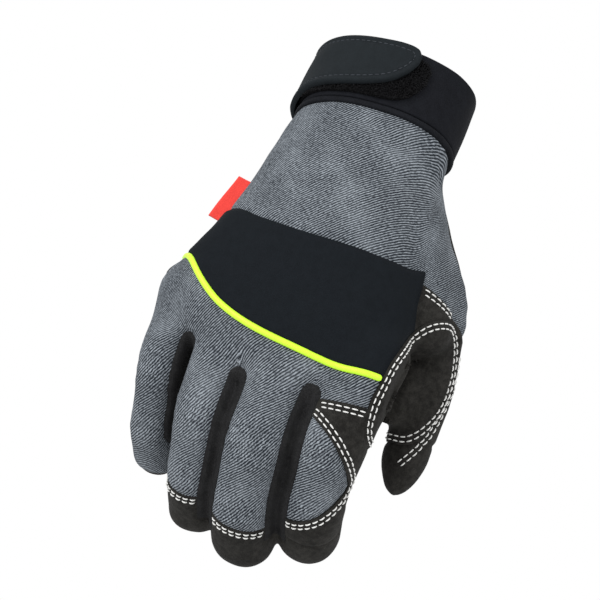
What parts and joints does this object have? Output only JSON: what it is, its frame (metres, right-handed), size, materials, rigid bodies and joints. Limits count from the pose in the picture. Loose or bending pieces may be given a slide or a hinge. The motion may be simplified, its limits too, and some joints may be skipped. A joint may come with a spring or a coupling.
{
  "type": "mechanic glove",
  "caption": "Right-hand mechanic work glove held open as if worn, with denim back, padded knuckle panel, bright piping, leather palm and a strap over its elastic cuff",
  "frame": {"origin": "middle of the wrist opening", "axes": "+Z out of the wrist opening along the wrist, +X to the thumb side, -Y out of the back of the hand"},
  "size_m": [0.124, 0.0966, 0.2065],
  "materials": {
    "denim": "woven twill, grey-blue",
    "leather": "synthetic suede, near black",
    "panel": "smooth padded stretch fabric, black",
    "piping": "satin, bright yellow-green",
    "strip": "plain stretch cloth, black",
    "cuff": "stretch cloth, black",
    "binding": "folded binding, black",
    "loop": "fuzzy loop pile, black",
    "strap": "matt moulded, black",
    "tag": "woven, red"
  },
  "bodies": {
    "root": {"wrist_back": "denim", "thumb_side_panel": "denim", "knuckle_panel": "panel", "piping": "piping", "knuckle_back": "denim", "little_back": "denim", "ring_back": "denim", "middle_back": "denim", "finger_strip_1": "strip", "finger_strip_2": "strip", "finger_strip_3": "strip", "index_back": "leather", "index_patch": "denim", "thumb_oval": "leather", "thumb_web": "leather", "thumb_back": "leather", "thumb_front": "leather", "little_front": "leather", "ring_front": "leather", "middle_front": "leather", "index_front": "leather", "palm": "leather", "cuff_band": "cuff", "cuff_binding": "binding", "loop_patch": "loop", "closure_strap": "strap", "side_tag": "tag"}
  },
  "joints": []
}
